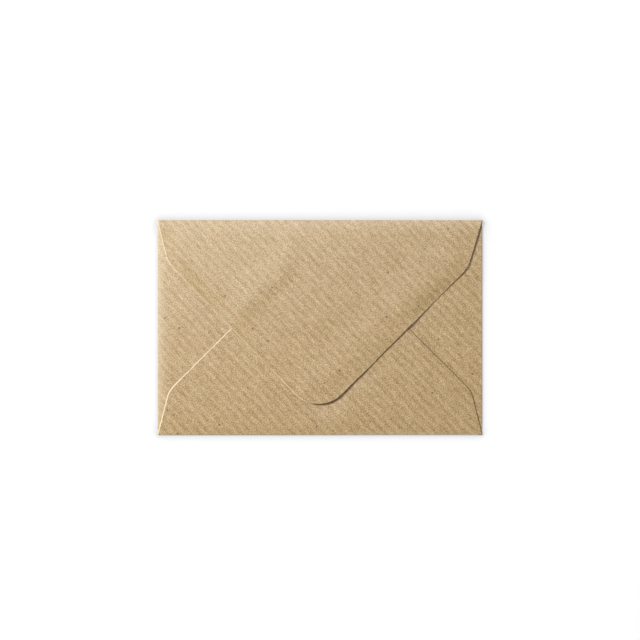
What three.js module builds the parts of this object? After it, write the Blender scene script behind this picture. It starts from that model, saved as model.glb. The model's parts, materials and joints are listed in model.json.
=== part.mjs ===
// A small kraft paper envelope with a deep, round-tipped seal flap. It lies flat and closed, address face down.
// Millimetres: X runs along the long side, Y towards the seal flap's fold, Z up. The origin is under the middle.
import * as THREE from "three";

// Outer size of the closed envelope
const width = 94;
const height = 62.4;

// Sheet, gum films and the air between the layers
const paper = 0.14;
const pocketGap = 0.22;
const seamGumThickness = 0.04;
const sealGumThickness = 0.03;
const sealGumClearance = 0.07;

// Side and bottom flaps: how far each shoulder is set in from the corner, how far it is from the fold, and its rounding
const cornerInset = 3.2;
const cornerRise = 12.95;
const shoulderRadius = 8;

// Round tips: the gap between the two side flaps, and the throat above the bottom flap
const sideTipsApart = 20;
const sideTipRadius = 9.5;
const bottomThroat = 11.5;
const bottomTipRadius = 14;

// Seal flap: its two shoulders differ a little, and its tip stops short of the bottom edge
const sealLeftInset = 2.8;
const sealLeftRise = 12.2;
const sealRightInset = 3.8;
const sealRightRise = 14.15;
const sealTipGap = 8.74;
const sealTipShift = -0.2;
const sealTipRadius = 9.45;

// Gum bands: distance from the paper's edge, width, how far the ends stop short, and the rounding of their corners
const seamGumMargin = 2;
const seamGumWidth = 6;
const seamGumStart = 7;
const seamGumEnd = 4;
const sealGumMargin = 1.2;
const sealGumWidth = 8;
const sealGumStart = 3;
const gumCornerRadius = 1.5;

// Steps in each drawn arc
const outlineSteps = 12;
const foldSteps = 10;

// Levels of the layers, from the table up
const sideFlapLevel = paper + pocketGap;
const seamGumLevel = sideFlapLevel + paper;
const bottomFlapLevel = seamGumLevel + seamGumThickness;
const sealGumLevel = bottomFlapLevel + paper + sealGumClearance;
const sealFlapLevel = sealGumLevel + sealGumThickness;

// Outer radius of each fold: half the height of the two layers that it joins
const sideFoldRadius = (sideFlapLevel + paper) / 2;
const bottomFoldRadius = (bottomFlapLevel + paper) / 2;
const topFoldRadius = (sealFlapLevel + paper) / 2;

const kraft = new THREE.MeshStandardMaterial({ color: 0xbfa57e, roughness: 0.75, metalness: 0 });
const gum = new THREE.MeshStandardMaterial({ color: 0xcdb684, roughness: 0.3, metalness: 0 });

const envelope = new THREE.Group();

// Corners of the whole envelope, and of the flat panel between the folds
const outer = boxCorners(-width / 2, -height / 2, width / 2, height / 2);
const panel = boxCorners(
  -width / 2 + sideFoldRadius,
  -height / 2 + bottomFoldRadius,
  width / 2 - sideFoldRadius,
  height / 2 - topFoldRadius,
);

function boxCorners(left, bottom, right, top) {
  return {
    bottomLeft: new THREE.Vector2(left, bottom),
    bottomRight: new THREE.Vector2(right, bottom),
    topRight: new THREE.Vector2(right, top),
    topLeft: new THREE.Vector2(left, top),
  };
}

function addPiece(name, geometry, material, z) {
  const mesh = new THREE.Mesh(geometry, material.clone());
  mesh.name = name;
  mesh.position.z = z;
  envelope.add(mesh);
  return mesh;
}

function wayTo(from, to) {
  return to.clone().sub(from).normalize();
}

function along(from, way, distance) {
  return way.clone().multiplyScalar(distance).add(from);
}

function leftOf(way) {
  return new THREE.Vector2(-way.y, way.x);
}

// Distance from p, along the way u, to the line through q along the way v.
function distanceToLine(p, u, q, v) {
  return q.clone().sub(p).cross(v) / u.cross(v);
}

// Outline through corners, anticlockwise. A corner with a radius is cut by an arc that touches both its sides.
function roundedOutline(corners) {
  const shape = new THREE.Shape();
  corners.forEach(({ point, radius = 0 }, i) => {
    if (radius === 0) {
      if (i === 0) shape.moveTo(point.x, point.y);
      else shape.lineTo(point.x, point.y);
      return;
    }
    const back = wayTo(point, corners.at(i - 1).point);
    const ahead = wayTo(point, corners[(i + 1) % corners.length].point);
    const halfAngle = Math.acos(back.dot(ahead)) / 2;
    const centre = along(point, back.clone().add(ahead).normalize(), radius / Math.sin(halfAngle));
    const start = along(point, back, radius / Math.tan(halfAngle)).sub(centre);
    const end = along(point, ahead, radius / Math.tan(halfAngle)).sub(centre);
    shape.absarc(centre.x, centre.y, radius, start.angle(), end.angle(), start.cross(end) < 0);
  });
  return shape;
}

function sheetGeometry(corners, thickness) {
  const settings = { depth: thickness, bevelEnabled: false, curveSegments: outlineSteps };
  return new THREE.ExtrudeGeometry(roundedOutline(corners), settings);
}

// A shoulder lies inward from one end of a fold, on the left of the way that leads on from that end.
function shoulderAt(end, way, inward, inset, rise) {
  return along(along(end, way, inset), inward, rise);
}

// Point where straight edges that run from both shoulders past the tip's circle would meet.
function meetingPoint(first, second, centre, radius) {
  const toward = (from, side) => {
    const reach = centre.clone().sub(from);
    return wayTo(from, centre).rotateAround(new THREE.Vector2(), side * Math.asin(radius / reach.length()));
  };
  const fromFirst = toward(first, 1);
  const fromSecond = toward(second, -1);
  return along(first, fromFirst, distanceToLine(first, fromFirst, second, fromSecond));
}

// A flap folded in along one side, from one corner of the envelope anticlockwise to the next.
function flapCorners(fromCorner, toCorner, fromShoulder, toShoulder, tipCentre, tipRadius) {
  const way = wayTo(outer[fromCorner], outer[toCorner]);
  const inward = leftOf(way);
  const back = way.clone().negate();
  const first = shoulderAt(outer[fromCorner], way, inward, fromShoulder.inset, fromShoulder.rise);
  const second = shoulderAt(outer[toCorner], back, inward, toShoulder.inset, toShoulder.rise);
  return [
    { point: panel[fromCorner] },
    { point: panel[toCorner] },
    { point: second, radius: shoulderRadius },
    { point: meetingPoint(first, second, tipCentre, tipRadius), radius: tipRadius },
    { point: first, radius: shoulderRadius },
  ];
}

// The path moved to its left by a distance, its bends kept as bends.
function offsetPath(path, distance) {
  return path.map((point, i) => {
    const before = Math.max(i, 1);
    const after = Math.min(i, path.length - 2);
    const sideBefore = leftOf(wayTo(path[before - 1], path[before]));
    const sideAfter = leftOf(wayTo(path[after], path[after + 1]));
    const side = sideBefore.clone().add(sideAfter).normalize();
    return along(point, side, distance / side.dot(sideBefore));
  });
}

// A band of gum on the left of a path along the paper's edge, drawn back from the path's ends.
function bandCorners(edge, { margin, bandWidth, startGap, endGap, bendRadius }) {
  const path = [...edge];
  const last = path.length - 1;
  path[0] = along(edge[0], wayTo(edge[0], edge[1]), startGap);
  path[last] = along(edge[last], wayTo(edge[last], edge[last - 1]), endGap);
  const sideCorners = (distance) =>
    offsetPath(path, distance).map((point, i) => {
      const isEnd = i === 0 || i === last;
      return { point, radius: isEnd ? gumCornerRadius : Math.max(bendRadius - distance, 0) };
    });
  return [...sideCorners(margin), ...sideCorners(margin + bandWidth).reverse()];
}

// Half a tube of paper that joins two layers, bulging towards +X and running along Y before it is turned.
function foldGeometry(radius, length) {
  const section = new THREE.Shape();
  section.absarc(0, 0, radius, -Math.PI / 2, Math.PI / 2, false);
  section.absarc(0, 0, radius - paper, Math.PI / 2, -Math.PI / 2, true);
  const settings = { depth: length, bevelEnabled: false, curveSegments: foldSteps };
  return new THREE.ExtrudeGeometry(section, settings).rotateX(Math.PI / 2).translate(0, length, 0);
}

// The fold starts at one corner of the flat panel and runs to the next, so its bulge is on its right.
function addFold(name, fromCorner, toCorner, radius) {
  const start = panel[fromCorner];
  const way = wayTo(start, panel[toCorner]);
  const fold = addPiece(name, foldGeometry(radius, start.distanceTo(panel[toCorner])), kraft, radius);
  fold.position.x = start.x;
  fold.position.y = start.y;
  fold.rotation.z = way.angle() - Math.PI / 2;
}

function makePanelAndFolds() {
  const corners = Object.values(panel).map((point) => ({ point }));
  addPiece("front_panel", sheetGeometry(corners, paper), kraft, 0);
  addFold("bottom_fold", "bottomLeft", "bottomRight", bottomFoldRadius);
  addFold("right_fold", "bottomRight", "topRight", sideFoldRadius);
  addFold("top_fold", "topRight", "topLeft", topFoldRadius);
  addFold("left_fold", "topLeft", "bottomLeft", sideFoldRadius);
}

const evenShoulder = { inset: cornerInset, rise: cornerRise };

function sideFlapCorners(fromCorner, toCorner, side) {
  const tipCentre = new THREE.Vector2(side * (sideTipsApart / 2 + sideTipRadius), 0);
  return flapCorners(fromCorner, toCorner, evenShoulder, evenShoulder, tipCentre, sideTipRadius);
}

// The seam runs up the bottom flap's slanted edge, from its shoulder to where it leaves the side flap below.
function seamEnd(shoulder, tip, sideShoulder, sideTip) {
  const way = wayTo(shoulder, tip);
  return along(shoulder, way, distanceToLine(shoulder, way, sideShoulder, wayTo(sideShoulder, sideTip)));
}

function makeSideAndBottomFlaps() {
  const right = sideFlapCorners("bottomRight", "topRight", 1);
  const left = sideFlapCorners("topLeft", "bottomLeft", -1);
  const bottomTip = new THREE.Vector2(0, height / 2 - bottomThroat - bottomTipRadius);
  const bottom = flapCorners(
    "bottomLeft", "bottomRight", evenShoulder, evenShoulder, bottomTip, bottomTipRadius,
  );
  addPiece("right_side_flap", sheetGeometry(right, paper), kraft, sideFlapLevel);
  addPiece("left_side_flap", sheetGeometry(left, paper), kraft, sideFlapLevel);
  addPiece("bottom_flap", sheetGeometry(bottom, paper), kraft, bottomFlapLevel);
  makeSeams(left, right, bottom);
}

// Two bands of gum hold the bottom flap down on the side flaps.
function makeSeams(left, right, bottom) {
  const [, , rightLower, rightTip] = bottom.map(({ point }) => point);
  const leftLower = bottom[4].point;
  const [, , rightUpper, rightSideTip] = right.map(({ point }) => point);
  const [, , , leftSideTip, leftUpper] = left.map(({ point }) => point);
  const rightSeam = [rightLower, seamEnd(rightLower, rightTip, rightUpper, rightSideTip)];
  const leftSeam = [seamEnd(leftLower, rightTip, leftUpper, leftSideTip), leftLower];
  const band = { margin: seamGumMargin, bandWidth: seamGumWidth, bendRadius: 0 };
  const rightBand = bandCorners(rightSeam, { ...band, startGap: seamGumStart, endGap: seamGumEnd });
  const leftBand = bandCorners(leftSeam, { ...band, startGap: seamGumEnd, endGap: seamGumStart });
  addPiece("right_seam_gum", sheetGeometry(rightBand, seamGumThickness), gum, seamGumLevel);
  addPiece("left_seam_gum", sheetGeometry(leftBand, seamGumThickness), gum, seamGumLevel);
}

// The seal flap hangs from the top fold, with a band of dried gum on its inner face.
function makeSealFlap() {
  const leftShoulder = { inset: sealLeftInset, rise: sealLeftRise };
  const rightShoulder = { inset: sealRightInset, rise: sealRightRise };
  const tipCentre = new THREE.Vector2(sealTipShift, -height / 2 + sealTipGap + sealTipRadius);
  const flap = flapCorners("topRight", "topLeft", rightShoulder, leftShoulder, tipCentre, sealTipRadius);
  addPiece("seal_flap", sheetGeometry(flap, paper), kraft, sealFlapLevel);
  const [, , left, tip, right] = flap.map(({ point }) => point);
  const band = bandCorners([left, tip, right], {
    margin: sealGumMargin,
    bandWidth: sealGumWidth,
    startGap: sealGumStart,
    endGap: sealGumStart,
    bendRadius: sealTipRadius,
  });
  addPiece("seal_gum", sheetGeometry(band, sealGumThickness), gum, sealGumLevel);
}

makePanelAndFolds();
makeSideAndBottomFlaps();
makeSealFlap();

export default envelope;
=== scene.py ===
"""A small kraft paper envelope, closed, lying on a white table and seen from straight above.

Lengths are in millimetres until a mesh is made. X runs along the long side, Y towards the seal flap's fold,
and Z up. Each piece of paper is built flat, as it was die-cut, and then folded, so its ribs run on over the
folds.
"""
import json
import math

import bpy
import numpy as np
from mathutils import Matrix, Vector, geometry, noise

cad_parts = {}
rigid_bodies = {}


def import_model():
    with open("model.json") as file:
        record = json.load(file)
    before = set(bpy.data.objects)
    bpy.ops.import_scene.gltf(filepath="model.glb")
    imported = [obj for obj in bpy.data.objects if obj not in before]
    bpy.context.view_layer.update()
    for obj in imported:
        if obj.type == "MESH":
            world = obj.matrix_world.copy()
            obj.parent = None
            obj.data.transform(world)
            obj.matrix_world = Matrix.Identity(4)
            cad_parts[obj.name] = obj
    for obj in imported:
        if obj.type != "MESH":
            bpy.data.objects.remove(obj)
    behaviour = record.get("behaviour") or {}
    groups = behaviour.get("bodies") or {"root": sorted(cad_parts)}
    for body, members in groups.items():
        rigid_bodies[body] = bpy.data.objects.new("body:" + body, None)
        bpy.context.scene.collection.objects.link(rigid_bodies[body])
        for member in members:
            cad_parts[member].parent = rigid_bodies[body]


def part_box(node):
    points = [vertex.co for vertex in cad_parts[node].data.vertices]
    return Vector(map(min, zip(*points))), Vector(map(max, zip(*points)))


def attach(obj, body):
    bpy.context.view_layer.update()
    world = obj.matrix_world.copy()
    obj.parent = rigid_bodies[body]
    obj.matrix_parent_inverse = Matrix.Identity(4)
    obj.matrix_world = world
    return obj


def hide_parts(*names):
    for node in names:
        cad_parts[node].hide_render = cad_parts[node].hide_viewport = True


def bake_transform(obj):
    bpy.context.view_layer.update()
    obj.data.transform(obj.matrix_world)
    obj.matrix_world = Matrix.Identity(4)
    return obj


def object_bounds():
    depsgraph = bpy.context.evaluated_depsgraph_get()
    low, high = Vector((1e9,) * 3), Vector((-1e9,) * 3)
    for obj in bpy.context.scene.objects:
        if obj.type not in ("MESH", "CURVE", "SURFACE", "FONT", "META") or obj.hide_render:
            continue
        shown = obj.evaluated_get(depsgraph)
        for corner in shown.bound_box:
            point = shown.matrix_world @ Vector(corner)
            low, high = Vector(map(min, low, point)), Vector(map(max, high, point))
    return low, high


MM = 0.001

# Paper, and the fibrous rim that the cutting die leaves round it
PAPER = 0.14
RIM_WIDTH = 0.14
RIM_DROP = 0.065

# Outlines of the side flaps and the bottom flap, as in the CAD part
CORNER_INSET = 3.2
CORNER_RISE = 12.95
SHOULDER_RADIUS = 8
SIDE_TIPS_APART = 20
SIDE_TIP_RADIUS = 9.5
BOTTOM_THROAT = 11.5
BOTTOM_TIP_RADIUS = 14

# Outline of the seal flap, whose right edge and tip lie up to 0.3 mm from those of the CAD part
SEAL_LEFT_INSET = 2.8
SEAL_LEFT_RISE = 12.2
SEAL_RIGHT_INSET = 4.05
SEAL_RIGHT_RISE = 13.97
SEAL_TIP_GAP = 8.94
SEAL_TIP_SHIFT = -0.3
SEAL_TIP_RADIUS = 9.45

# Gum bands, as in the CAD part: distance from the cut edge, width, gaps at both ends, and the bend's radius
SEAM_GUM = {"margin": 2, "width": 6, "start": 7, "end": 4, "bend": 0}
SEAL_GUM = {"margin": 1.2, "width": 8, "start": 3, "end": 3, "bend": SEAL_TIP_RADIUS}
GUM_CORNER_RADIUS = 1.5

# A gum film's thickness, and the share of it that is missing at its edge
GUM_FILM = 0.03
GUM_TAPER = 0.4

# How far the long folds run on past the flat panel, to the envelope's corners
FOLD_OVERHANG = 0.25

# How far the side folds and the long folds stay inside the envelope's box
SIDE_FOLD_PRESSED = 0.03
LONG_FOLD_PRESSED = 0.10

# How pale a fold is rubbed, and how far from it; and a painted sheen on the left fold, which faces the light
FOLD_WEAR = 0.13
FOLD_WEAR_REACH = 1.3
LEFT_PAINTED_SHEEN = 0.3
PAINTED_SHEEN_REACH = 3.5

# Height of the middle of each layer of paper where it lies flat, and the least height of the side flaps
PANEL_LEVEL = PAPER / 2
LEFT_SIDE_LEVEL = 0.375
RIGHT_SIDE_LEVEL = 0.26
BOTTOM_LEVEL = 0.53
SEAL_LEVEL = 0.75
SEAL_CEILING = 0.847
LEFT_FLOOR = 1.55 * PAPER
RIGHT_FLOOR = 1.52 * PAPER

# The drape of the flaps is made of dips and rises of these heights, and each is limited by steps and ridges.
# A step is where a soft rise from 0 to 1 starts, and how wide it is. A ridge is where it peaks, and how far
# it falls off before and after. A roll is how deep a flap dips at its fold, and how far in that reaches.
# Steps that end a stretch, and those of the flap's tip and the left corners, count towards -X or -Y.

# The side flaps: rolls, the way they sink towards their tips, and the right one's free upper part
LEFT_ROLL = (0.16, 3.2)
RIGHT_ROLL = (0.03, 1.1)
LEFT_SINK = 0.05
RIGHT_SINK = 0.03
SINK_STEP = (0, 14)
RIGHT_LIFT = 0.10
RIGHT_LIFT_STEP = (9, 9)
TUCK_DEPTH = 0.09
TUCK_REACH = 1.6

# The bottom flap: its roll, its tilt to the right, the groove under the seal flap's right edge, the hollow
# under the seal flap's tip, and its right edge, which stands up a little
BOTTOM_ROLL = (0.10, 1.3)
BOTTOM_TILT = 0.09
BOTTOM_TILT_STEP = (-12, 36)
GROOVE_DEPTH = 0.03
GROOVE_MORE = 0.09
GROOVE_RIDGE = (-14, 6, 5)
GROOVE_REACH = 7
GROOVE_STEP = (-8, 12)
HOLLOW_DEPTH = 0.24
HOLLOW_FROM_TIP = (0.5, -7)
HOLLOW_RADIUS = 10
EDGE_LIFT = 0.06
EDGE_LIFT_REACH = 3
EDGE_LIFT_STEP = (27, 3)

# The seal flap at its fold and along its left edge, which rolls down more at the top
SEAL_ROLL = (0.12, 1.6)
LEFT_DROP = 0.06
LEFT_DROP_MORE = 0.16
LEFT_DROP_STEP = (-2, 9)
LEFT_DROP_REACH = 2.6
LEFT_DROP_REACH_MORE = 2.2
LEFT_DROP_REACH_STEP = (-4, 10)
LEFT_DROP_FREE_STEP = (0, 6)

# The seal flap along its right edge: a crest beside it, two stretches that lie down, and the raised tip
CREST = 0.09
CREST_RIDGE = (5.5, 5.5, 9)
CREST_FREE_STEP = (0, 12)
RIGHT_EDGE_REACH = 4
SHOULDER_DROP = 0.33
SHOULDER_DROP_RIDGE = (8.5, 9, 10)
WAIST_DROP = 0.08
WAIST_DROP_RIDGE = (-8, 8, 8)
WAIST_DROP_STEP = (-4, 6)
TIP_LIFT = 0.12
TIP_LIFT_STEP = (15, 5)

# The seal flap over the bottom flap's left edge, which shows through it, and right of the bottom flap
SHOW_THROUGH = 0.10
SHOW_THROUGH_RIDGE = (-1.2, 9, 4.5)
SHOW_THROUGH_START = (-34, 12)
SHOW_THROUGH_END = (4, 8)
BEYOND_DROP = 0.03
BEYOND_DROP_STEP = (0, 3)
BEYOND_DROP_FREE_STEP = (0, 12)
BEYOND_DROP_X_STEP = (2, 8)

# Gentle waves of each flap: height, length, and what sets one flap's waves apart from another's
LEFT_WAVES = (0.006, 9, 3)
RIGHT_WAVES = (0.006, 9, 5)
BOTTOM_WAVES = (0.008, 8, 7)
SEAL_WAVES = (0.012, 9, 11)

# How far the pale fibres of a cut edge reach in beyond the usual near the left corners: a painted highlight
# where the edges face the light
LIT_RIM_WIDENING = 0.12
LIT_RIM_STEP = (38, 4)

# The same along the seal flap: a share of that, two stretches where the band along the cut edge is narrower,
# and a wider band near the tip, twice as wide on the right, where the band is painted shade
SEAL_LIT_RIM_SHARE = 0.6
NARROW_UPPER = 0.05
NARROW_UPPER_START = (0, 2)
NARROW_UPPER_END = (-18, 3)
NARROW_LOWER = 0.20
NARROW_LOWER_RIDGE = (-10.6, 2.4, 2.4)
TIP_RIM_WIDENING = 0.05
TIP_RIM_STEP = (13, 2)
TIP_RIM_RIGHT_STEP = (-2, 4)

# Where along X the cut edges turn from pale fibres to a dark brown that is painted shade, on the side away from
# the light
SHADED_SIDE_STEP = (-5, 5)

# The panel has no cut edge: the distance to one that its points are given
FAR_FROM_CUT = 10.0

# Mesh: grid spacing, rows round each fold, rows just inside the cut edge, and the room that they keep
GRID = 0.8
FOLD_ROWS = 14
RIM_ROWS = (RIM_WIDTH, 0.34, 0.64)
ROW_KEEPS = 0.98
SEAM_ROOM = 0.01
BORDER_ROOM = 0.4 * GRID
RIM_ROOM = 0.45 * GRID

# Outlines: how far a step may exceed its share, the fewest steps in an arc, and what counts as nothing
STEP_SPARE = 0.01
ARC_STEPS = 3
TINY = 1e-6

# A triangle is a sliver if twice its area, over its longest side squared, is less than this
SLIVER = 0.0001

# Ribs of the paper: distance from one to the next, their slant, where the first one lies, how they wander,
# how steep their sides are, and how strong they are where they are faintest and strongest
RIB_PITCH = 2.145
RIB_SLANT = math.radians(43.8)
RIB_SHIFT = 0.62
RIB_WANDER = 0.22
RIB_SIDE = 0.45
RIB_PATCH_SIDE = 0.5
RIB_FAINTEST = 0.55
RIB_STRONGEST = 1.35

# The two faces of the paper: how strongly the ribs show, roughness, gloss, the patterns' layer, and colour
OUTER_FACE = {"rib_tone": 0.060, "roughness": 0.26, "gloss": 0.9, "layer": 0.0}
INNER_FACE = {"rib_tone": 0.035, "roughness": 0.62, "gloss": 0.5, "layer": 5.0}
OUTER_COLOR = (0.472, 0.335, 0.167)
INNER_COLOR = (0.465, 0.325, 0.165)

# How strongly the paper's patterns show in its colour, apart from the ribs, and in its relief
TONES = {
    "grain": 0.95,
    "strands": 0.31,
    "mottle": 0.20,
    "clouds": 0.13,
    "dark_fibres": -0.09,
    "pale_fibres": 0.07,
    "specks": -0.12,
}
RELIEF = {"grain": 0.7, "strands": 0.5, "rib": 0.10, "pale_fibres": 0.2}
RELIEF_DEPTH = 0.006 * MM
GRAIN_ROUGHNESS = 0.10

# Colours of the paper: what a tone of 1 adds, the tint of some patches, how soft these are and their place, the
# flecks, how well they cover and their place, the pale fibres of cut edges, also used for rubbed folds and the
# left fold's painted sheen, and the dark brown of cut edges away from the light, which is painted shade
TONE_COLOR = (0.50, 0.44, 0.31)
PATCH_TINT = (1.02, 0.995, 1.02, 1)
PATCH_SIDE = 0.35
PATCH_SHIFT = (7, 3, 0)
FLECK_COLOR = (0.12, 0.065, 0.025, 1)
FLECK_COVER = 0.85
FLECK_SHIFT = (31, 17, 0)
PALE_FIBRE_AND_SHEEN_COLOR = (0.74, 0.61, 0.41, 1)
PAINTED_SHADE_RIM_COLOR = (0.17, 0.055, 0.0, 1)

# Specks and fibres fade out between two shares of their size; fibres wobble, and some are wider than others
SPECK_FULL = 0.6
SPECK_ENDS = 1.2
FIBRE_WOBBLE = (1.6, 1.6, 0)
FIBRE_WIDEST = 1.5

# The fibres of a cut edge, which away from the light are painted shade: from where to where they fade out,
# how far they fray, and how rough they are
FIBRES_END = 0.20
FIBRES_FULL = 0.06
FIBRES_FRAY = 0.10
FIBRES_ROUGHNESS = 0.3

# Dried gum: its colour, tone and paler rim, its roughness, its patterns' strengths, and its clear coat
GUM_COLOR = (0.52, 0.375, 0.185)
GUM_TONE = 0.92
GUM_POOLED = 0.12
GUM_ROUGHNESS = 0.22
GUM_BRUSHED_ROUGHNESS = 0.10
GUM_TONES = {"brushed": 0.08, "grain": 0.12}
GUM_GRAIN_RELIEF = 0.4
GUM_RELIEF_DEPTH = 0.01 * MM
GUM_COAT = 0.3
GUM_COAT_ROUGHNESS = 0.2

# The table top: half its width in metres, and its height, just under the envelope
TABLE_REACH = 3.0
TABLE_LEVEL = -0.02 * MM

# The table's colours as the camera sees it, lit and bounced, and the shadow round the envelope
TABLE_COLOR = (0.80, 0.80, 0.80, 1)
TABLE_LIT_COLOR = (0.22, 0.22, 0.22, 1)
TABLE_BOUNCE_COLOR = (0.8, 0.8, 0.8, 1)
SHADE_COLOR = (0.0, 0.02, 0.05, 1)
SHADE_STRENGTH = 0.50
SHADE_CURVE = 0.3
SHADE_REACH = 6 * MM
SHADE_SAMPLES = 32

# Light: even light from all round, which fades out between two heights of the sky, and two soft boxes at the
# upper left, one low and one high beside the camera. Sizes and distances are in metres.
AMBIENT = 0.28
AMBIENT_FADES = 0.80
AMBIENT_ENDS = 0.97
BOX_DISTANCE = 1.0
LOW_SOFT_BOX = {"azimuth": 151, "elevation": 35, "size": (0.14, 0.14), "power": 13.2}
HIGH_SOFT_BOX = {"azimuth": 116, "elevation": 80, "size": (0.50, 0.18), "power": 1.20}

# Camera, straight above, and the width of table that it sees
CAMERA_HEIGHT = 600
CAMERA_X = 0.0
CAMERA_Y = 2.19
VIEW_WIDTH = 185.4
SENSOR = 36

# Blender's start-up objects go
for leftover in list(bpy.data.objects):
    bpy.data.objects.remove(leftover)
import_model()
CAD_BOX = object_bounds()


def unit(v):
    return v / np.linalg.norm(v)


def left_of(way):
    return np.array((-way[1], way[0]))


def cross(a, b):
    return a[0] * b[1] - a[1] * b[0]


def turned(v, angle):
    c, s = math.cos(angle), math.sin(angle)
    return np.array((c * v[0] - s * v[1], s * v[0] + c * v[1]))


def smooth(t):
    """0 up to t = 0, 1 from t = 1, and a soft S between."""
    t = np.clip(t, 0, 1)
    return t * t * (3 - 2 * t)


def step(t, start, width):
    """0 up to the start, 1 beyond the width, and a soft S between."""
    return smooth((t - start) / width)


def near(distance, reach):
    """1 at no distance, and falling softly to 0 at the reach."""
    return smooth(1 - distance / reach)


def ridge(t, peak, before, after):
    """1 at the peak, and falling softly to 0 over one distance before it and another after it."""
    t = t - peak
    return np.where(t < 0, smooth(1 + t / before), smooth(1 - t / after))


def corners(low, high):
    return {
        "bottom_left": np.array((low[0], low[1])),
        "bottom_right": np.array((high[0], low[1])),
        "top_right": np.array((high[0], high[1])),
        "top_left": np.array((low[0], high[1])),
    }


# Corners of the whole envelope, and of the flat panel between the folds
OUTER = corners(*(np.array(corner[:2]) / MM for corner in CAD_BOX))
FLAT = corners(*(np.array(corner[:2]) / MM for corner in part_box("front_panel")))
BOTTOM_Y = OUTER["bottom_left"][1]
TOP_Y = OUTER["top_left"][1]


def distance_to_line(p, u, q, v):
    """Distance from p, along u, to the line through q along v."""
    return cross(q - p, v) / cross(u, v)


def meeting_point(first, second, centre, radius):
    """Where straight edges that run from both shoulders past the tip's circle would meet."""
    ways = []
    for shoulder, side in ((first, 1), (second, -1)):
        reach = centre - shoulder
        ways.append(turned(unit(reach), side * math.asin(radius / np.linalg.norm(reach))))
    return first + ways[0] * distance_to_line(first, ways[0], second, ways[1])


def divided(path, longest):
    """The closed path with its long sides cut into equal parts."""
    result = []
    for i, point in enumerate(path):
        ahead = path[(i + 1) % len(path)]
        count = max(1, math.ceil(np.linalg.norm(ahead - point) / longest - STEP_SPARE))
        result += [point + (ahead - point) * k / count for k in range(count)]
    return np.array(result)


def rounded(points):
    """A closed outline through (point, radius) corners, with arcs, and points a grid step apart or less."""
    path = []
    for i, (point, radius) in enumerate(points):
        if radius == 0:
            path.append(point)
            continue
        back = unit(points[i - 1][0] - point)
        ahead = unit(points[(i + 1) % len(points)][0] - point)
        half = math.acos(back @ ahead) / 2
        centre = point + unit(back + ahead) * radius / math.sin(half)
        start = point + back * radius / math.tan(half) - centre
        end = point + ahead * radius / math.tan(half) - centre
        sweep = math.copysign(math.pi - 2 * half, cross(start, end))
        count = max(ARC_STEPS, math.ceil(abs(sweep) * radius / GRID))
        path += [centre + turned(start, sweep * k / count) for k in range(count + 1)]
    return divided(path, GRID)


def closed(loop):
    """The outline with its first point repeated at its end."""
    return np.vstack((loop, loop[:1]))


def path_distance(xy, path):
    """Distance from each point to an open path."""
    best = np.full(len(xy), np.inf)
    for a, b in zip(path[:-1], path[1:]):
        t = np.clip((xy - a) @ (b - a) / max((b - a) @ (b - a), TINY ** 2), 0, 1)
        best = np.minimum(best, np.hypot(*(xy - a - t[:, None] * (b - a)).T))
    return best


def inside(xy, loop):
    """Which points lie inside a closed outline."""
    result = np.zeros(len(xy), bool)
    for a, b in zip(loop, np.roll(loop, -1, axis=0)):
        if a[1] == b[1]:
            continue
        crosses = (a[1] > xy[:, 1]) != (b[1] > xy[:, 1])
        result ^= crosses & (xy[:, 0] < (b[0] - a[0]) * (xy[:, 1] - a[1]) / (b[1] - a[1]) + a[0])
    return result


def waves(xy, height, length, seed):
    """Gentle waves of paper."""
    return height * np.array([noise.noise(Vector((x / length, y / length, seed))) for x, y in xy])


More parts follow.
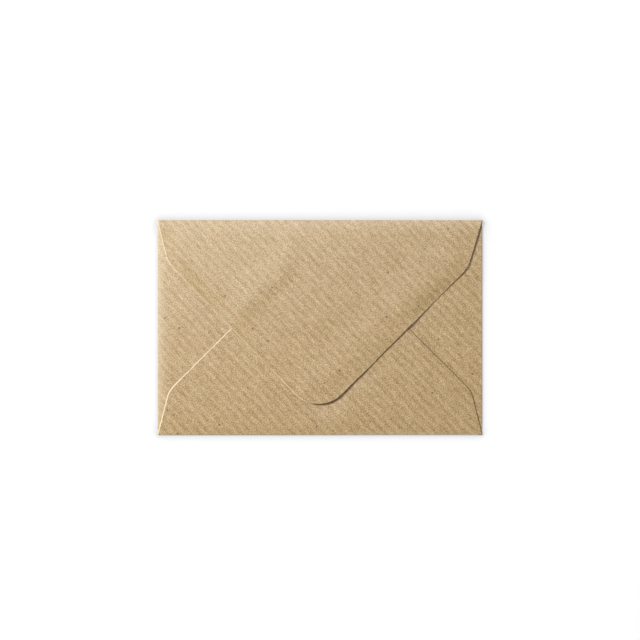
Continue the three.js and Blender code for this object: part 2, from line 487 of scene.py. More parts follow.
class Flap:
    """A flap folded in along one side: from one corner of the envelope anticlockwise to the next."""

    def __init__(self, start, end, cuts, tip, tip_radius, overhang=0.0, pressed=SIDE_FOLD_PRESSED, wear_and_sheen=0.0):
        start_cut, end_cut = cuts
        self.way = unit(OUTER[end] - OUTER[start])
        self.inward = left_of(self.way)
        self.first = OUTER[start] + self.way * start_cut[0] + self.inward * start_cut[1]
        self.second = OUTER[end] - self.way * end_cut[0] + self.inward * end_cut[1]
        self.meeting = meeting_point(self.first, self.second, tip, tip_radius)
        self.tip_radius = tip_radius
        self.origin = FLAT[start] - self.way * overhang
        self.length = np.linalg.norm(FLAT[end] - FLAT[start]) + 2 * overhang
        self.bulge = (FLAT[start] - OUTER[start]) @ self.inward - PAPER / 2 - pressed
        self.arc = math.pi * self.bulge
        self.wear_and_sheen = wear_and_sheen

    def outline(self):
        """The outline as it lies folded, anticlockwise from the start of the fold."""
        return rounded([
            (self.origin, 0),
            (self.origin + self.way * self.length, 0),
            (self.second, SHOULDER_RADIUS),
            (self.meeting, self.tip_radius),
            (self.first, SHOULDER_RADIUS),
        ])

    def along_and_in(self, xy):
        """Distance along the fold and inward from it, of points in the plane."""
        return (xy - self.origin) @ self.way, (xy - self.origin) @ self.inward

    def blank(self):
        """The outline as it was cut: along the fold, and outward from the panel over the fold's arc."""
        s, q = self.along_and_in(self.outline())
        flap = np.column_stack((s, q + self.arc))[q > TINY]
        rows = np.arange(1, FOLD_ROWS + 1) * self.arc / FOLD_ROWS
        seam = np.linspace(0, self.length, math.ceil(self.length / GRID) + 1)
        return np.vstack((
            np.column_stack((seam, 0 * seam)),
            np.column_stack((0 * rows + self.length, rows)),
            flap,
            np.column_stack((0 * rows, rows[::-1])),
        ))

    def worn_and_sheen(self, cut):
        """How pale the paper is by its fold, from 0 to 1: rubbed pale on every fold, and on the left fold also a
        painted sheen.
        """
        away = np.abs(cut[:, 1] - self.arc / 2)
        # The left fold alone is paler over a wider band: a painted sheen where the fold faces the light
        soft = self.wear_and_sheen * smooth(cut[:, 1] / self.arc) * near(away, PAINTED_SHEEN_REACH)
        return FOLD_WEAR * near(away, FOLD_WEAR_REACH) + soft

    def unfolded(self, cut):
        """Place of the cut sheet's points in the plane, before it is folded."""
        return self.origin + cut[:, :1] * self.way - cut[:, 1:] * self.inward

    def folded(self, cut, height):
        """The sheet's middle, and the way that its outer face looks, once the flap is folded in."""
        s, a = cut.T
        on_arc = a < self.arc
        q = np.where(on_arc, 0, a - self.arc)
        xy = self.origin + s[:, None] * self.way + q[:, None] * self.inward
        top = height(xy)
        angle = np.where(on_arc, math.pi * a / self.arc, math.pi)
        half_rise = (top - PANEL_LEVEL) / 2
        xy = xy - (self.bulge * np.sin(angle))[:, None] * self.inward
        z = PANEL_LEVEL + half_rise * (1 - np.cos(angle))
        across = -(half_rise * np.sin(angle))[:, None] * self.inward
        normal = np.column_stack((across, -self.bulge * np.cos(angle)))
        return np.column_stack((xy, z)), normal / np.linalg.norm(normal, axis=1)[:, None]


EVEN_CUTS = ((CORNER_INSET, CORNER_RISE), (CORNER_INSET, CORNER_RISE))
SEAL_CUTS = ((SEAL_RIGHT_INSET, SEAL_RIGHT_RISE), (SEAL_LEFT_INSET, SEAL_LEFT_RISE))
SIDE_TIP_X = SIDE_TIPS_APART / 2 + SIDE_TIP_RADIUS
LEFT_TIP = np.array((-SIDE_TIP_X, 0))
RIGHT_TIP = np.array((SIDE_TIP_X, 0))
BOTTOM_TIP = np.array((0, TOP_Y - BOTTOM_THROAT - BOTTOM_TIP_RADIUS))
SEAL_TIP = np.array((SEAL_TIP_SHIFT, BOTTOM_Y + SEAL_TIP_GAP + SEAL_TIP_RADIUS))

LEFT = Flap("top_left", "bottom_left", EVEN_CUTS, LEFT_TIP, SIDE_TIP_RADIUS, wear_and_sheen=LEFT_PAINTED_SHEEN)
RIGHT = Flap("bottom_right", "top_right", EVEN_CUTS, RIGHT_TIP, SIDE_TIP_RADIUS)
BOTTOM = Flap("bottom_left", "bottom_right", EVEN_CUTS, BOTTOM_TIP, BOTTOM_TIP_RADIUS,
              FOLD_OVERHANG, LONG_FOLD_PRESSED)
SEAL = Flap("top_right", "top_left", SEAL_CUTS, SEAL_TIP, SEAL_TIP_RADIUS,
            FOLD_OVERHANG, LONG_FOLD_PRESSED)


def left_distance(xy, a, b):
    """How far each point lies to the left of the line from a to b."""
    return (xy - a) @ left_of(unit(b - a))


def fold_roll(flap, xy, depth, reach):
    """The way that a flap dips towards its fold."""
    return -depth * np.exp(-np.maximum(flap.along_and_in(xy)[1], 0) / reach)


def tucked(xy):
    """The way that the side flaps dip under the bottom fold."""
    return -TUCK_DEPTH * np.exp(-(xy[:, 1] - BOTTOM_Y) / TUCK_REACH)


def left_height(xy):
    """The left side flap rises from its soft fold, then sinks a little towards its tip."""
    sunk = -LEFT_SINK * step(LEFT.along_and_in(xy)[1], *SINK_STEP)
    roll = fold_roll(LEFT, xy, *LEFT_ROLL)
    height = LEFT_SIDE_LEVEL + roll + sunk + tucked(xy) + waves(xy, *LEFT_WAVES)
    return np.maximum(height, LEFT_FLOOR)


def right_height(xy):
    """The right side flap lies flatter, and its upper part is free."""
    sunk = -RIGHT_SINK * step(RIGHT.along_and_in(xy)[1], *SINK_STEP)
    lifted = RIGHT_LIFT * step(xy[:, 1], *RIGHT_LIFT_STEP)
    roll = fold_roll(RIGHT, xy, *RIGHT_ROLL)
    height = RIGHT_SIDE_LEVEL + roll + sunk + lifted + tucked(xy) + waves(xy, *RIGHT_WAVES)
    return np.maximum(height, RIGHT_FLOOR)


def seal_edges(xy):
    """Distances to the seal flap's cut edge on its left and on its right."""
    loop = SEAL.outline()
    cut = loop[SEAL.along_and_in(loop)[1] > TINY]
    middle = int(np.argmin(cut[:, 1]))
    left = np.vstack(([FLAT["top_left"]], cut[: middle + 1]))
    right = np.vstack((cut[middle:], [FLAT["top_right"]]))
    return path_distance(xy, left), path_distance(xy, right)


def bottom_height(xy):
    """The bottom flap lies on the side flaps, and is pressed down under the seal flap's right edge."""
    x, y = xy.T
    right = seal_edges(xy)[1]
    tilt = -BOTTOM_TILT * step(x, *BOTTOM_TILT_STEP)
    depth = GROOVE_DEPTH + GROOVE_MORE * ridge(y, *GROOVE_RIDGE)
    groove = -depth * near(right, GROOVE_REACH) * step(x, *GROOVE_STEP)
    from_hollow = np.hypot(x - SEAL_TIP[0] - HOLLOW_FROM_TIP[0], y - SEAL_TIP[1] - HOLLOW_FROM_TIP[1])
    hollow = -HOLLOW_DEPTH * near(from_hollow, HOLLOW_RADIUS)
    from_edge = left_distance(xy, BOTTOM.second, BOTTOM.meeting)
    lifted = EDGE_LIFT * near(from_edge, EDGE_LIFT_REACH) * step(x, *EDGE_LIFT_STEP)
    roll = fold_roll(BOTTOM, xy, *BOTTOM_ROLL)
    return BOTTOM_LEVEL + roll + tilt + groove + hollow + lifted + waves(xy, *BOTTOM_WAVES)


def seal_height(xy):
    """The seal flap drapes over the flaps below, dips at its left edge and stands off at its right one."""
    x, y = xy.T
    inward = SEAL.along_and_in(xy)[1]
    left, right = seal_edges(xy)
    over_bottom = left_distance(xy, BOTTOM.meeting, BOTTOM.first)
    off_right = left_distance(xy, BOTTOM.second, BOTTOM.meeting)
    height = SEAL_LEVEL + fold_roll(SEAL, xy, *SEAL_ROLL)
    left_drop = LEFT_DROP + LEFT_DROP_MORE * step(y, *LEFT_DROP_STEP)
    left_reach = LEFT_DROP_REACH + LEFT_DROP_REACH_MORE * step(y, *LEFT_DROP_REACH_STEP)
    height -= left_drop * near(left, left_reach) * step(inward, *LEFT_DROP_FREE_STEP)
    height += CREST * ridge(right, *CREST_RIDGE) * step(inward, *CREST_FREE_STEP)
    at_right = near(right, RIGHT_EDGE_REACH)
    height -= SHOULDER_DROP * ridge(y, *SHOULDER_DROP_RIDGE) * at_right
    height -= WAIST_DROP * ridge(y, *WAIST_DROP_RIDGE) * at_right * step(x, *WAIST_DROP_STEP)
    height += TIP_LIFT * step(-y, *TIP_LIFT_STEP) * at_right
    shown = step(x, *SHOW_THROUGH_START) * step(-x, *SHOW_THROUGH_END)
    height += SHOW_THROUGH * ridge(over_bottom, *SHOW_THROUGH_RIDGE) * shown
    beyond = step(-off_right, *BEYOND_DROP_STEP)
    height -= BEYOND_DROP * beyond * step(inward, *BEYOND_DROP_FREE_STEP) * step(x, *BEYOND_DROP_X_STEP)
    height += waves(xy, *SEAL_WAVES)
    return np.minimum(height, SEAL_CEILING)


def row_at(across, level):
    """A row of points along X."""
    return np.column_stack((across, 0 * across + level))


def staggered(low, high):
    """A grid of points over a rectangle, every other row moved half a step."""
    rows = []
    for i, level in enumerate(np.arange(low[1], high[1], GRID * math.sqrt(3) / 2)):
        rows.append(row_at(np.arange(low[0] + GRID * (i % 2) / 2, high[0], GRID), level))
    return np.vstack(rows)


def beside(path, depth):
    """The path's points moved to its left."""
    ways = [unit(path[min(i + 1, len(path) - 1)] - path[max(i - 1, 0)]) for i in range(len(path))]
    return path + depth * np.array([left_of(way) for way in ways])


def flap_points(flap, loop, cut_path):
    """Points that fill a flap: rows round the fold, a staggered grid, and rows beside the cut edge."""
    low, high = loop.min(0), loop.max(0)
    across = np.arange(low[0] + GRID, high[0], GRID)
    rows = [row_at(across, flap.arc * k / FOLD_ROWS) for k in range(1, FOLD_ROWS + 1)]
    grid = np.vstack(rows + [staggered((low[0], flap.arc + GRID / 2), high)])
    grid = grid[inside(grid, loop) & (path_distance(grid, cut_path) > RIM_ROWS[-1] + RIM_ROOM)]
    for depth in RIM_ROWS:
        row = beside(cut_path, depth)
        clear = path_distance(row, cut_path) > depth * ROW_KEEPS
        grid = np.vstack((grid, row[inside(row, loop) & clear & (row[:, 1] > SEAM_ROOM)]))
    return grid


def triangles(loop, points):
    """The outline and the points in it as triangles: corners, triangles, and the outline's own indices."""
    given = [Vector(p) for p in np.vstack((loop, points))]
    result = geometry.delaunay_2d_cdt(given, [], [list(range(len(loop)))], 1, TINY, True)
    verts, _, faces, origins = result[:4]
    cut = np.array([tuple(v) for v in verts])
    a, b, c = cut[np.array([tuple(face) for face in faces])].transpose(1, 2, 0)
    longest = np.max([np.hypot(*(b - a)), np.hypot(*(c - b)), np.hypot(*(a - c))], axis=0)
    kept = inside(((a + b + c) / 3).T, loop) & (cross(b - a, c - a) > SLIVER * longest ** 2)
    place = {origin: i for i, sources in enumerate(origins) for origin in sources}
    kept_faces = [tuple(face) for face, keep in zip(faces, kept) if keep]
    return cut, kept_faces, [place[i] for i in range(len(loop))]


def solid_sheet(name, loop, points, place, half, drop, attributes, faces_up=True):
    """A sheet with an outer and an inner face and a wall round it, from its flat outline.

    place gives the sheet's middle and the way that its outer face looks, half is half its thickness, drop is
    how far its faces are pressed in, and faces_up tells whether an anticlockwise triangle is an outer one.
    """
    cut, faces, edge = triangles(loop, points)
    middle, normal = place(cut)
    pressed = drop(cut)
    outer = middle + normal * (half - pressed)[:, None]
    inner = middle - normal * (half - pressed / 2)[:, None]
    count = len(cut)
    upper, lower = (0, count) if faces_up else (count, 0)
    ahead = edge[1:] + edge[:1]
    sides = [tuple(v + upper for v in face) for face in faces]
    sides += [tuple(v + lower for v in reversed(face)) for face in faces]
    sides += [(a + upper, a + lower, b + lower, b + upper) for a, b in zip(edge, ahead)]
    slots = [int(not faces_up)] * len(faces) + [int(faces_up)] * len(faces) + [0] * len(edge)
    mesh = bpy.data.meshes.new(name)
    mesh.from_pydata((np.vstack((outer, inner)) * MM).tolist(), [], sides)
    mesh.polygons.foreach_set("material_index", slots)
    mesh.polygons.foreach_set("use_smooth", [True] * len(sides))
    add_attributes(mesh, attributes(cut))
    rims = {frozenset((a + face, b + face)) for a, b in zip(edge, ahead) for face in (0, count)}
    for line in mesh.edges:
        line.use_edge_sharp = frozenset(line.vertices) in rims
    return linked(name, mesh)


def add_attributes(mesh, attributes):
    """Point attributes, the same on a sheet's outer and inner face."""
    for key, values in attributes.items():
        vector = values.ndim == 2
        layer = mesh.attributes.new(key, "FLOAT_VECTOR" if vector else "FLOAT", "POINT")
        layer.data.foreach_set("vector" if vector else "value", np.concatenate((values, values)).ravel())


def linked(name, data):
    """A new object in the scene."""
    thing = bpy.data.objects.new(name, data)
    bpy.context.scene.collection.objects.link(thing)
    return thing


def flat_vector(xy):
    return np.column_stack((xy, np.zeros(len(xy))))


def facing_down(cut):
    return np.tile((0, 0, -1.0), (len(cut), 1))


def lit_rim_widened(xy):
    """How far the pale fibres of a cut edge reach in beyond the usual near the left corners: a painted highlight
    where the edges face the light.
    """
    return LIT_RIM_WIDENING * step(-xy[:, 0], *LIT_RIM_STEP)


def seal_rim_widening(xy):
    """The same for the seal flap: the band along its cut edge is narrower in two stretches and wider near the
    tip, twice as much on the right, where it is painted shade.
    """
    x, y = xy[:, 0], xy[:, 1]
    narrowed = NARROW_UPPER * step(y, *NARROW_UPPER_START) * step(-y, *NARROW_UPPER_END)
    narrowed = narrowed + NARROW_LOWER * ridge(y, *NARROW_LOWER_RIDGE)
    tip_widening = TIP_RIM_WIDENING * step(-y, *TIP_RIM_STEP) * (1 + step(x, *TIP_RIM_RIGHT_STEP))
    return SEAL_LIT_RIM_SHARE * lit_rim_widened(xy) - narrowed + tip_widening


def make_flap(name, flap, height, rim_widening=lit_rim_widened):
    """A flap and its fold, cut and folded."""
    loop = flap.blank()
    seam = math.ceil(flap.length / GRID)
    cut_path = np.vstack((loop[seam:], loop[:1]))

    def place(cut):
        return flap.folded(cut, height)

    def attributes(cut):
        flat = flap.unfolded(cut)
        return {
            "sheet": flat_vector(flat),
            # Distance in from the cut edge, less the widening of the band along it, which is a painted highlight
            # near the left corners and, on the right near the seal flap's tip, painted shade
            "rim": path_distance(cut, cut_path) - rim_widening(place(cut)[0]),
            "shaded_side": step(flat[:, 0], *SHADED_SIDE_STEP),
            "wear_and_sheen": flap.worn_and_sheen(cut),
        }

    def drop(cut):
        return RIM_DROP * np.clip(1 - path_distance(cut, cut_path) / RIM_WIDTH, 0, 1)

    points = flap_points(flap, loop, cut_path)
    return solid_sheet(name, loop, points, place, PAPER / 2, drop, attributes)


def make_panel():
    """The address face: one flat panel, whose outer side looks down."""
    loop = rounded([(FLAT[key], 0) for key in ("bottom_left", "bottom_right", "top_right", "top_left")])
    border = closed(loop)
    grid = staggered(loop.min(0), loop.max(0))
    grid = grid[path_distance(grid, border) > BORDER_ROOM]

    def place(cut):
        return flat_vector(cut) + (0, 0, PANEL_LEVEL), facing_down(cut)

    def attributes(cut):
        wear_and_sheen = FOLD_WEAR * near(path_distance(cut, border), FOLD_WEAR_REACH)
        return {"sheet": flat_vector(cut), "rim": np.full(len(cut), FAR_FROM_CUT), "shaded_side": 0 * wear_and_sheen, "wear_and_sheen": wear_and_sheen}

    def drop(cut):
        return np.zeros(len(cut))

    return solid_sheet("address_panel", loop, grid, place, PAPER / 2, drop, attributes, False)


def offset_path(path, distance):
    """The path moved to its left by a distance, its bends kept as bends."""
    result = []
    for i, point in enumerate(path):
        before, after = max(i, 1), min(i, len(path) - 2)
        side_before = left_of(unit(path[before] - path[before - 1]))
        side_after = left_of(unit(path[after + 1] - path[after]))
        side = unit(side_before + side_after)
        result.append(point + side * distance / (side @ side_before))
    return result


def gum_outline(edge, band):
    """A band of gum on the left of a path along the paper's edge, drawn back from the path's ends."""
    path = list(edge)
    path[0] = edge[0] + unit(edge[1] - edge[0]) * band["start"]
    path[-1] = edge[-1] + unit(edge[-2] - edge[-1]) * band["end"]

    def side(distance):
        bends = [max(band["bend"] - distance, 0)] * (len(path) - 2)
        return list(zip(offset_path(path, distance), [GUM_CORNER_RADIUS] + bends + [GUM_CORNER_RADIUS]))

    return rounded(side(band["margin"]) + side(band["margin"] + band["width"])[::-1])


def make_gum(name, edge, band, paper_height):
    """A film of dried gum on the inner face of a flap, thinner towards its edge."""
    loop = gum_outline(edge, band)
    border = closed(loop)
    grid = staggered(loop.min(0), loop.max(0))
    grid = grid[inside(grid, loop) & (path_distance(grid, border) > BORDER_ROOM)]

    def place(cut):
        level = paper_height(cut) - PAPER / 2 - GUM_FILM / 2
        return flat_vector(cut) + np.outer(level, (0, 0, 1)), facing_down(cut)

    def attributes(cut):
        return {"sheet": flat_vector(cut), "rim": path_distance(cut, border)}

    def drop(cut):
        return GUM_FILM * GUM_TAPER * np.clip(1 - path_distance(cut, border) / GRID, 0, 1)

    return solid_sheet(name, loop, grid, place, GUM_FILM / 2, drop, attributes, False)


def seam_end(shoulder, tip, side_shoulder, side_tip):
    """Where the bottom flap's slanted edge leaves the side flap below."""
    way = unit(tip - shoulder)
    return shoulder + way * distance_to_line(shoulder, way, side_shoulder, unit(side_tip - side_shoulder))


class Shader:
    """Short ways to add nodes to the emptied tree of a new material or world."""

    def __init__(self, owner):
        owner.use_nodes = True
        self.owner = owner
        self.tree = owner.node_tree
        self.tree.nodes.clear()

    def node(self, kind, inputs=None, **settings):
        node = self.tree.nodes.new("ShaderNode" + kind)
        for key, value in settings.items():
            setattr(node, key, value)
        for key, value in (inputs or {}).items():
            self.give(node.inputs[key], value)
        return node

    def give(self, target, value):
        """Links a socket to the target, or sets the target to a plain value."""
        if isinstance(value, bpy.types.NodeSocket):
            self.tree.links.new(value, target)
        else:
            target.default_value = value

    def attribute(self, name, output="Fac"):
        return self.node("Attribute", attribute_name=name).outputs[output]

    def math(self, operation, *values):
        return self.node("Math", dict(enumerate(values)), operation=operation).outputs[0]

    def add(self, *values):
        total = values[0]
        for value in values[1:]:
            total = self.math("ADD", total, value)
        return total

    def weighted(self, patterns, weights):
        """The sum of the patterns that have a weight, each times its weight."""
        return self.add(*[self.math("MULTIPLY", patterns[name], weight) for name, weight in weights.items()])

    def colored(self, tone, color):
        """The colour times a tone."""
        return self.node("VectorMath", {0: color, "Scale": tone}, operation="SCALE").outputs[0]

    def frame(self, vector, **inputs):
        """The vector turned, stretched and moved."""
        return self.node("Mapping", {"Vector": vector, **inputs}).outputs["Vector"]

    def noise(self, vector, scale, detail=2.0, roughness=0.55):
        """Noise from about -1 to 1 around 0."""
        inputs = {"Vector": vector, "Scale": scale, "Detail": detail, "Roughness": roughness}
        return self.math("MULTIPLY_ADD", self.node("TexNoise", inputs).outputs["Fac"], 2.0, -1.0)

    def span(self, value, low, high, start=0.0, end=1.0, soft=True):
        """The value's place between low and high, as a number from start to end."""
        kind = "SMOOTHSTEP" if soft else "LINEAR"
        inputs = {"Value": value, "From Min": low, "From Max": high, "To Min": start, "To Max": end}
        return self.node("MapRange", inputs, interpolation_type=kind).outputs["Result"]

    def mix(self, factor, a, b, blend="MIX"):
        """Two colours mixed."""
        node = self.node("Mix", data_type="RGBA", blend_type=blend)
        for key, value in (("Factor_Float", factor), ("A_Color", a), ("B_Color", b)):
            self.give(next(socket for socket in node.inputs if socket.identifier == key), value)
        return next(socket for socket in node.outputs if socket.identifier == "Result_Color")

    def surface(self, color, roughness, relief, depth):
        """A glossy surface with a fine relief."""
        bump = self.node("Bump", {"Height": relief, "Strength": 1.0, "Distance": depth}).outputs[0]
        return self.node("BsdfPrincipled", {"Base Color": color, "Roughness": roughness, "Normal": bump})

    def finish(self, surface):
        self.node("OutputMaterial", {"Surface": surface})
        return self.owner


def specks(s, vector, cell, share, smallest, largest):
    """Round specks of a random size in a share of the cells, from 0 to 1."""
    cells = s.node("TexVoronoi", {"Vector": vector, "Scale": 1 / cell}, voronoi_dimensions="2D")
    chance = s.node("SeparateColor", {"Color": cells.outputs["Color"]})
    size = s.span(chance.outputs["Red"], 1 - share, 1.0, smallest / cell, largest / cell, soft=False)
    there = s.math("GREATER_THAN", chance.outputs["Red"], 1 - share)
    nearness = s.math("DIVIDE", cells.outputs["Distance"], size)
    return s.math("MULTIPLY", s.span(nearness, SPECK_ENDS, SPECK_FULL), there)


def streaks(s, vector, angle, cell, stretch, share, width):
    """Short thin fibres that all lie at about one angle, from 0 to 1."""
    wobble = s.node("TexNoise", {"Vector": vector, "Scale": 0.5, "Detail": 1.0}).outputs["Color"]
    inputs = {0: wobble, 1: FIBRE_WOBBLE, 2: vector}
    bent = s.node("VectorMath", inputs, operation="MULTIPLY_ADD").outputs[0]
    lying = s.frame(s.frame(bent, Rotation=(0, 0, angle)), Scale=(1, 1 / stretch, 1))
    return specks(s, lying, cell, share, smallest=width, largest=width * FIBRE_WIDEST)


def rib_pattern(s, place):
    """Ribs across X that wander a little and are stronger in some places, from about -1 to 1."""
    wander = s.noise(place, scale=0.09, detail=1.0)
    x = s.node("SeparateXYZ", {0: place}).outputs["X"]
    across = s.math("ADD", x, s.math("MULTIPLY", wander, RIB_WANDER))
    wave = s.math("SINE", s.math("MULTIPLY", across, 2 * math.pi / RIB_PITCH))
    band = s.span(wave, -RIB_SIDE, RIB_SIDE, start=-1.0, end=1.0, soft=False)
    patches = s.noise(place, scale=0.35)
    patchy = s.span(patches, -RIB_PATCH_SIDE, RIB_PATCH_SIDE, RIB_FAINTEST, RIB_STRONGEST, soft=False)
    return s.math("MULTIPLY", band, patchy)


def paper_patterns(s, place):
    """Ribs, grain and strands along the ribs, mottling, clouds, fibres, specks and flecks."""
    return {
        "rib": rib_pattern(s, place),
        "grain": s.noise(place, scale=3.2, roughness=0.6),
        "strands": s.noise(s.frame(place, Scale=(1.9, 0.40, 1)), scale=1.0, roughness=0.6),
        "mottle": s.noise(place, scale=0.9),
        "clouds": s.noise(s.frame(place, Scale=(0.33, 0.14, 1)), scale=1.0),
        "dark_fibres": streaks(s, place, angle=0.35, cell=5.0, stretch=7.0, share=0.5, width=0.16),
        "pale_fibres": streaks(s, place, angle=-0.9, cell=3.0, stretch=8.0, share=0.6, width=0.14),
        "specks": specks(s, place, cell=3.2, share=0.35, smallest=0.10, largest=0.19),
        "flecks": specks(s, s.frame(place, Location=FLECK_SHIFT),
                         cell=10.0, share=0.55, smallest=0.22, largest=0.34),
    }


def paper_color(s, place, patterns, color, rib_tone):
    """The paper's colour with its patterns, slightly tinted in patches, and its dark flecks."""
    tone = s.weighted(patterns, {"rib": rib_tone, **TONES})
    toned = s.node("VectorMath", {0: s.colored(tone, TONE_COLOR), 1: color}, operation="ADD").outputs[0]
    hue = s.noise(s.frame(place, Scale=(0.5, 0.3, 1), Location=PATCH_SHIFT), scale=1.0)
    patches = s.span(hue, -PATCH_SIDE, PATCH_SIDE)
    tinted = s.mix(patches, toned, s.mix(1.0, toned, PATCH_TINT, "MULTIPLY"))
    return s.mix(s.math("MULTIPLY", patterns["flecks"], FLECK_COVER), tinted, FLECK_COLOR)


def kraft_material(name, color, rib_tone, roughness, gloss, layer):
    """Ribbed kraft paper, with a rim of pale fibres where it was cut, painted shade on the rims away from the
    light, folds rubbed pale, and a painted sheen on the left fold.
    """
    s = Shader(bpy.data.materials.new(name))
    sheet = s.attribute("sheet", "Vector")
    place = s.frame(sheet, Rotation=(0, 0, math.pi + RIB_SLANT), Location=(RIB_SHIFT, 0, layer))
    patterns = paper_patterns(s, place)
    plain = paper_color(s, place, patterns, color, rib_tone)

    fray = s.math("MULTIPLY", s.noise(sheet, scale=3.0, detail=3.0, roughness=0.7), FIBRES_FRAY)
    rim = s.math("ADD", s.attribute("rim"), fray)
    cut_edge = s.span(rim, FIBRES_END, FIBRES_FULL)
    # Pale fibres where the cut edges face the light, and dark brown where they face away from it, which is
    # painted shade
    rim_fibres_and_shade = s.mix(s.attribute("shaded_side"), PALE_FIBRE_AND_SHEEN_COLOR, PAINTED_SHADE_RIM_COLOR)
    # Folds rubbed pale, and the left fold also a painted sheen
    creased_and_sheen = s.mix(s.attribute("wear_and_sheen"), plain, PALE_FIBRE_AND_SHEEN_COLOR)
    edged = s.mix(cut_edge, creased_and_sheen, rim_fibres_and_shade)

    uneven = s.weighted({"grain": patterns["grain"], "edge": cut_edge},
                        {"grain": GRAIN_ROUGHNESS, "edge": FIBRES_ROUGHNESS})
    rough = s.add(uneven, roughness)
    surface = s.surface(edged, rough, s.weighted(patterns, RELIEF), RELIEF_DEPTH)
    surface.inputs["Specular IOR Level"].default_value = gloss
    return s.finish(surface.outputs[0])


def gum_material():
    """Dried gum: a thin, clear, yellowish film with a gloss, brushed on along the flap's edge."""
    s = Shader(bpy.data.materials.new("dried_gum"))
    sheet = s.attribute("sheet", "Vector")
    brushed = s.noise(s.frame(sheet, Scale=(0.5, 0.5, 1)), scale=1.0, detail=3.0)
    grain = s.noise(sheet, scale=2.4, detail=3.0, roughness=0.6)
    pooled = s.span(s.attribute("rim"), 1.0, 0.2, start=0.0, end=GUM_POOLED)
    tone = s.add(s.weighted({"brushed": brushed, "grain": grain}, GUM_TONES), pooled, GUM_TONE)
    color = s.colored(tone, GUM_COLOR)
    rough = s.add(s.math("MULTIPLY", brushed, GUM_BRUSHED_ROUGHNESS), GUM_ROUGHNESS)
    relief = s.add(brushed, s.math("MULTIPLY", grain, GUM_GRAIN_RELIEF))
    surface = s.surface(color, rough, relief, GUM_RELIEF_DEPTH)
    surface.inputs["Coat Weight"].default_value = GUM_COAT
    surface.inputs["Coat Roughness"].default_value = GUM_COAT_ROUGHNESS
    return s.finish(surface.outputs[0])


def dress(piece, materials, nodes):
    """Gives a piece its materials, and hides the CAD nodes that it stands for."""
    for material in materials:
        piece.data.materials.append(material)
    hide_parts(*nodes)


def make_envelope():
    outer = kraft_material("kraft_outer_face", OUTER_COLOR, **OUTER_FACE)
    inner = kraft_material("kraft_inner_face", INNER_COLOR, **INNER_FACE)
    paper = (outer, inner)
    panel = make_panel()
    dress(panel, paper, ["front_panel"])
    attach(panel, "pocket")
    flaps = (
        ("left_flap_sheet", LEFT, left_height, ["left_side_flap", "left_fold"]),
        ("right_flap_sheet", RIGHT, right_height, ["right_side_flap", "right_fold"]),
        ("bottom_flap_sheet", BOTTOM, bottom_height, ["bottom_flap", "bottom_fold"]),
    )
    for name, flap, height, nodes in flaps:
        piece = make_flap(name, flap, height)
        dress(piece, paper, nodes)
        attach(piece, "pocket")
    seal = make_flap("seal_flap_sheet", SEAL, seal_height, seal_rim_widening)
    dress(seal, paper, ["seal_flap", "top_fold"])
    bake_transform(seal)
    make_all_gum()


def make_all_gum():
    film = [gum_material()]
    left_seam = [seam_end(BOTTOM.first, BOTTOM.meeting, LEFT.first, LEFT.meeting), BOTTOM.first]
    right_seam = [BOTTOM.second, seam_end(BOTTOM.second, BOTTOM.meeting, RIGHT.second, RIGHT.meeting)]
    seal_edge = [SEAL.second, SEAL.meeting, SEAL.first]
    left_band = {**SEAM_GUM, "start": SEAM_GUM["end"], "end": SEAM_GUM["start"]}
    bands = (
        ("left_seam_gum_film", left_seam, left_band, bottom_height, "pocket", "left_seam_gum"),
        ("right_seam_gum_film", right_seam, SEAM_GUM, bottom_height, "pocket", "right_seam_gum"),
        ("seal_gum_film", seal_edge, SEAL_GUM, seal_height, "flap", "seal_gum"),
    )
    for name, edge, band, height, body, node in bands:
        piece = make_gum(name, edge, band, height)
        dress(piece, film, [node])
        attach(piece, body)


def make_camera():
    data = bpy.data.cameras.new("camera")
    data.sensor_width = SENSOR
    data.lens = SENSOR * CAMERA_HEIGHT / VIEW_WIDTH
    camera = linked("camera", data)
    camera.location = Vector((CAMERA_X, CAMERA_Y, CAMERA_HEIGHT)) * MM
    bpy.context.scene.camera = camera


def for_camera(s, seen, lit):
    """One strength for what the camera sees, and another for all other light."""
    direct = s.node("LightPath").outputs["Is Camera Ray"]
    return s.span(direct, 0, 1, lit, seen, soft=False)


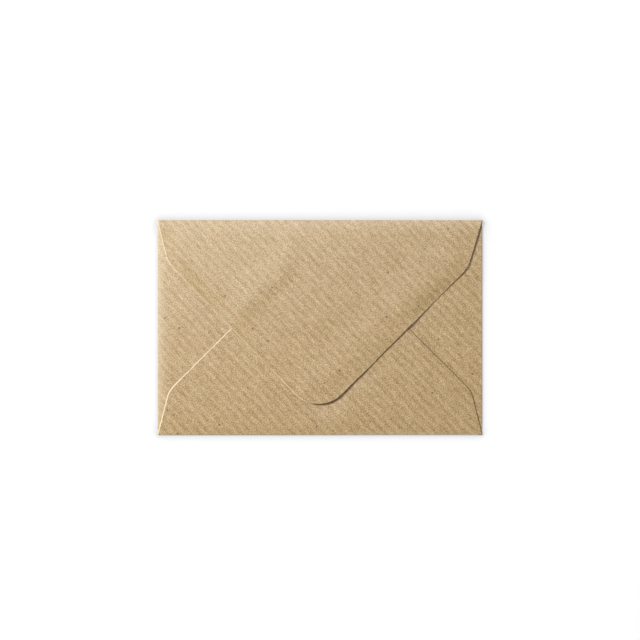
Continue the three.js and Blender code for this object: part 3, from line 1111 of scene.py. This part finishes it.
def table_material():
    """White where the camera looks past the envelope, with a soft shadow close round it."""
    s = Shader(bpy.data.materials.new("white_table"))
    openness = s.node("AmbientOcclusion", {"Distance": SHADE_REACH}, samples=SHADE_SAMPLES).outputs["AO"]
    depth = s.math("POWER", s.math("SUBTRACT", 1.0, openness), SHADE_CURVE)
    shade = s.mix(s.math("MULTIPLY", depth, SHADE_STRENGTH), TABLE_COLOR, SHADE_COLOR)
    white = s.node("Emission", {"Color": shade, "Strength": 1.0})
    lit = s.node("BsdfDiffuse", {"Color": TABLE_LIT_COLOR})
    seen = s.node("AddShader", {0: white.outputs[0], 1: lit.outputs[0]})
    bounced = s.node("BsdfDiffuse", {"Color": TABLE_BOUNCE_COLOR})
    share = for_camera(s, 1.0, 0.0)
    return s.finish(s.node("MixShader", {0: share, 1: bounced.outputs[0], 2: seen.outputs[0]}).outputs[0])


def make_table():
    """A white table top that keeps the envelope's shadow."""
    ways = ((-1, -1), (1, -1), (1, 1), (-1, 1))
    points = [(TABLE_REACH * x, TABLE_REACH * y, TABLE_LEVEL) for x, y in ways]
    mesh = bpy.data.meshes.new("table")
    mesh.from_pydata(points, [], [(0, 1, 2, 3)])
    mesh.materials.append(table_material())
    linked("table", mesh)


def make_world():
    world = bpy.data.worlds.new("studio")
    bpy.context.scene.world = world
    s = Shader(world)
    up = s.node("SeparateXYZ", {0: s.node("TexCoord").outputs["Generated"]}).outputs["Z"]
    around = s.span(up, AMBIENT_FADES, AMBIENT_ENDS, AMBIENT, 0.0)
    background = s.node("Background", {"Color": (1, 1, 1, 1), "Strength": for_camera(s, 1.0, around)})
    s.node("OutputWorld", {"Surface": background.outputs[0]})


def soft_box(name, azimuth, elevation, size, power):
    data = bpy.data.lights.new(name, "AREA")
    data.shape = "RECTANGLE"
    data.size, data.size_y = size
    data.energy = power
    box = linked(name, data)
    turn, lift = math.radians(azimuth), math.radians(elevation)
    way = Vector((math.cos(turn) * math.cos(lift), math.sin(turn) * math.cos(lift), math.sin(lift)))
    box.location = way * BOX_DISTANCE
    box.rotation_euler = way.to_track_quat("Z", "Y").to_euler()


def make_lights():
    soft_box("low_soft_box", **LOW_SOFT_BOX)
    soft_box("high_soft_box", **HIGH_SOFT_BOX)


bpy.context.scene.view_settings.view_transform = "Standard"
make_camera()
make_world()
make_table()
make_lights()
make_envelope()
